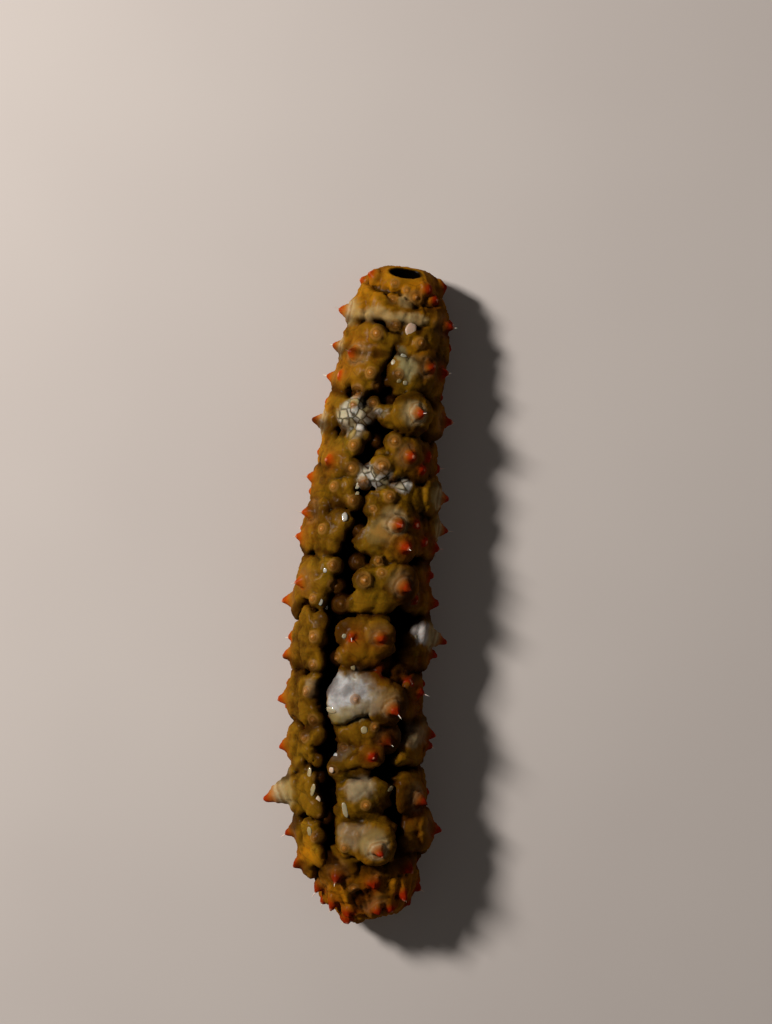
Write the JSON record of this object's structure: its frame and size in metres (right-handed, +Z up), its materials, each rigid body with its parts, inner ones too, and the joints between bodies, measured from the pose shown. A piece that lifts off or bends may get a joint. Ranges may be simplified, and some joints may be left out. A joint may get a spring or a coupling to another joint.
{
  "type": "sea cucumber",
  "caption": "Still life-size sea cucumber lying on its tube feet: a long, gently curved body with bands of warts, pointed papillae, a rear opening and a mouth under the front.",
  "frame": {"origin": "on the floor, under the middle of the part's box", "axes": "+Y along the body from the mouth end to the rear end, +Z up, +X to the right seen from above with the rear end up"},
  "size_m": [0.0369, 0.119, 0.0199],
  "materials": {
    "back_skin": "wet, satin, olive brown with dark creases and orange papilla tips",
    "sole_skin": "wet, satin, pale golden brown",
    "tentacle_skin": "wet, satin, orange brown",
    "papilla_skin": "wet, satin, orange to orange red",
    "nodule_skin": "wet, satin, off white",
    "filament_skin": "wet, clear, pinkish white",
    "foot_skin": "wet, satin, pale golden brown"
  },
  "bodies": {
    "root": {"anal_end": "back_skin", "trunk_1": "back_skin", "trunk_2": "back_skin", "trunk_3": "back_skin", "trunk_4": "back_skin", "trunk_5": "back_skin", "oral_end": "back_skin", "sole_rear": "sole_skin", "sole_middle": "sole_skin", "sole_front": "sole_skin", "mouth_tentacles": "tentacle_skin"}
  },
  "joints": []
}
